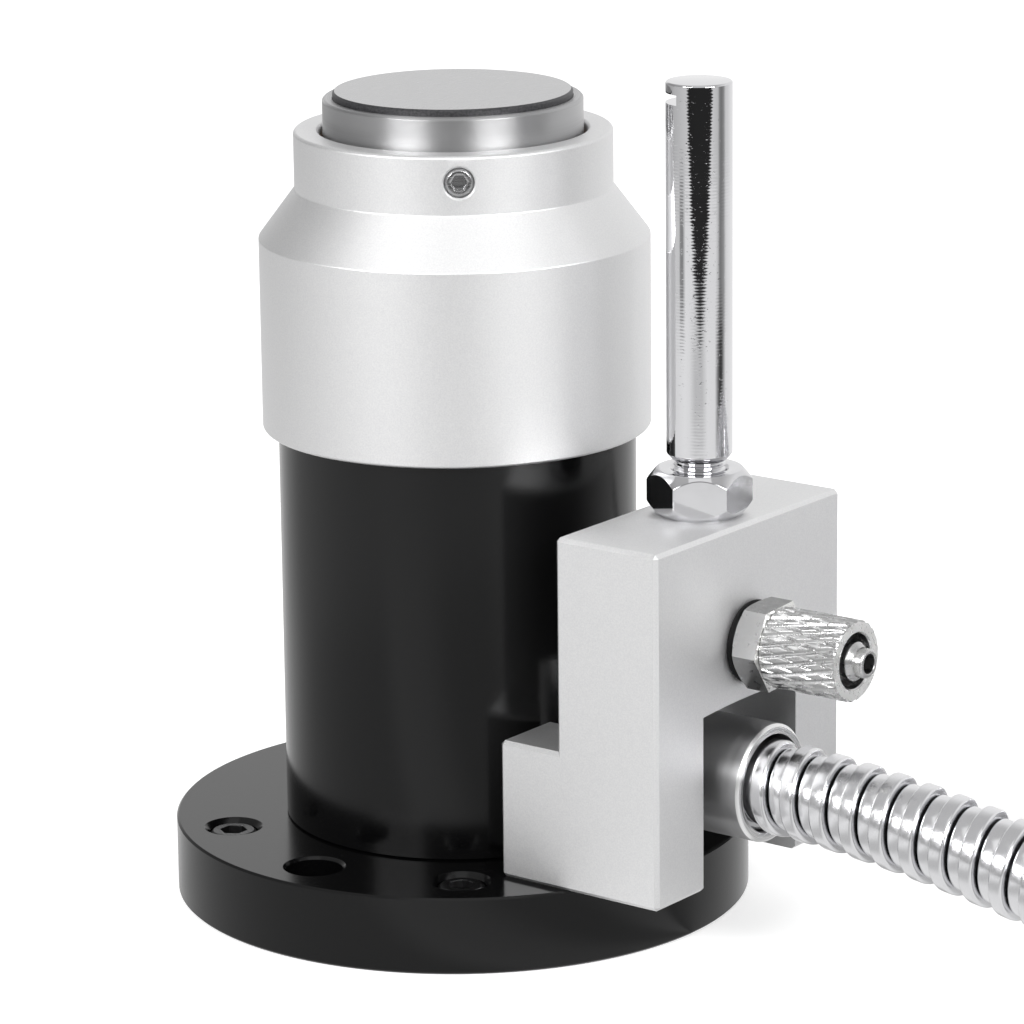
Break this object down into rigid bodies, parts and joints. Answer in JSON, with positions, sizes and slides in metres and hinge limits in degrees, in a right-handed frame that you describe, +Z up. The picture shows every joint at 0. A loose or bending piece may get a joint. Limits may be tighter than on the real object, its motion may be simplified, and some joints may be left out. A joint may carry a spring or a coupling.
{
  "type": "tool setter",
  "caption": "Machine-table tool setter: sprung contact in a silver head on a black body and flanged base, with an air-blow block, nozzle, hose fitting and armoured signal cable.",
  "frame": {"origin": "centre of the base's underside, on the body's axis", "axes": "+Z up along the plunger's axis, +X from the body to the air block and the cable"},
  "size_m": [0.2117, 0.1535, 0.0879],
  "materials": {
    "black_aluminium": "satin black anodised",
    "silver_aluminium": "bead-blasted and anodised",
    "carbide": "ground",
    "turned_steel": "fine turned",
    "hardened_steel": "ground",
    "spring_steel": "drawn wire",
    "black_steel": "black oxide",
    "bright_steel": "bright",
    "bronze": "turned",
    "dark_steel": "dark turned",
    "chrome": "polished chrome plate",
    "nickel": "nickel plate",
    "black_rubber": "matte",
    "black_plastic": "moulded",
    "board_laminate": "green solder mask",
    "cable_jacket": "smooth jacket",
    "armour": "bright stainless strip"
  },
  "bodies": {
    "housing": {"base_flange": "black_aluminium", "levelling_screws": "black_steel", "body_screws": "black_steel", "block_screws": "black_steel", "body_tube": "black_aluminium", "base_sealing_ring": "black_rubber", "head_sealing_ring": "black_rubber", "head_cap": "silver_aluminium", "neck_set_screw": "bright_steel", "guide_bush": "bronze", "plunger_seal": "black_rubber", "return_spring": "spring_steel", "guide_pin": "hardened_steel", "slot_sensor": "black_plastic", "circuit_board": "board_laminate", "board_standoffs": "nickel", "board_screws": "bright_steel", "signal_lead": "cable_jacket", "cable_socket": "dark_steel", "air_block": "silver_aluminium", "nozzle_lock_nut": "chrome", "fitting_washer": "black_rubber", "fitting_body": "nickel", "conduit": "armour", "conduit_coil": "armour", "conduit_end_run": "armour", "conduit_end_sleeve": "nickel", "signal_cable_tail": "cable_jacket", "signal_cable_cores": "cable_jacket"},
    "plunger": {"contact_disc": "carbide", "contact_collar": "turned_steel", "plunger_stem": "hardened_steel", "trigger_vane": "spring_steel", "vane_screw": "bright_steel"},
    "nozzle": {"air_nozzle": "chrome"},
    "hose_nut": {"hose_nut": "nickel"}
  },
  "joints": [
    {"name": "contact_plunge", "type": "slide", "parent": "housing", "child": "plunger", "axis": [0, 0, -1], "range_m": [0, 0.0035], "stiffness_N_per_m": 1000, "springref_m": -0.003, "deforming": ["return_spring"]},
    {"name": "nozzle_aim", "type": "hinge", "parent": "housing", "child": "nozzle", "pos_m": [0.03053, 0, 0.06], "axis": [0, 0, 1], "range_deg": [-180, 180]},
    {"name": "hose_nut_turn", "type": "hinge", "parent": "housing", "child": "hose_nut", "pos_m": [0.045, 0, 0.0321], "axis": [1, 0, 0], "range_deg": [0, 720]}
  ]
}
